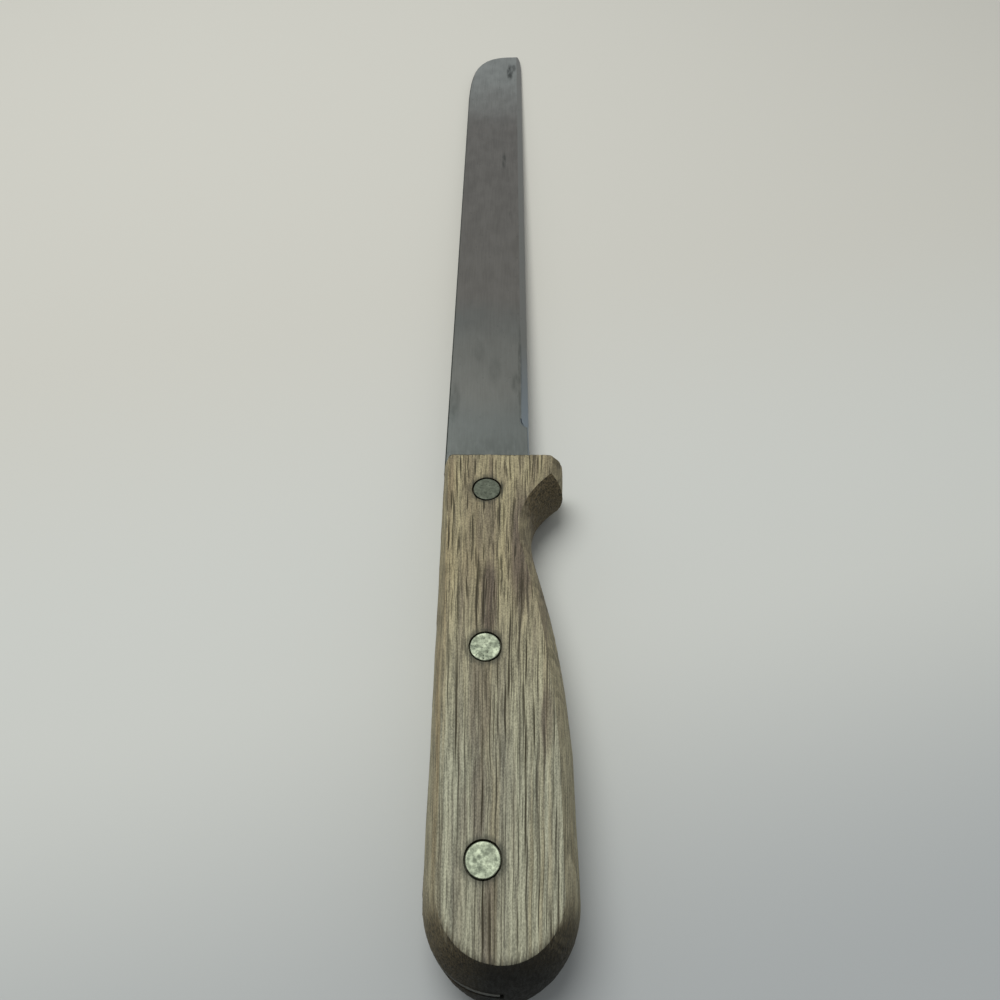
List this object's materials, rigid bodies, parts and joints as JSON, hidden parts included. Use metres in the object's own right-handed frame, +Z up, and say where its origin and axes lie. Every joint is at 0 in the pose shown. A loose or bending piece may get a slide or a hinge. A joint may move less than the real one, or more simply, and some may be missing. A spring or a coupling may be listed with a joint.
{
  "type": "kitchen knife",
  "caption": "Slicing knife with a long parallel blade, rounded tip and narrow bevel, and a riveted hardwood handle with a finger lug, lying on its side.",
  "frame": {"origin": "centre of the whole knife's box in X and Y, on the plane of the handle's lower flat face", "axes": "+Y from the butt to the tip, +X from the spine to the cutting edge, +Z up through the thickness as the knife lies on its side"},
  "size_m": [0.033, 0.3804, 0.019],
  "materials": {
    "blade_steel": "old stainless steel, fine lengthwise scratches and dark stains",
    "handle_wood": "bare open-pored hardwood, dried out and greyed",
    "rivet_alloy": "nickel-coloured copper alloy, dull, pitted and faintly green"
  },
  "bodies": {
    "root": {"blade": "blade_steel", "handle": "handle_wood", "front_rivet_post": "rivet_alloy", "front_rivet_socket": "rivet_alloy", "middle_rivet_post": "rivet_alloy", "middle_rivet_socket": "rivet_alloy", "rear_rivet_post": "rivet_alloy", "rear_rivet_socket": "rivet_alloy"}
  },
  "joints": []
}
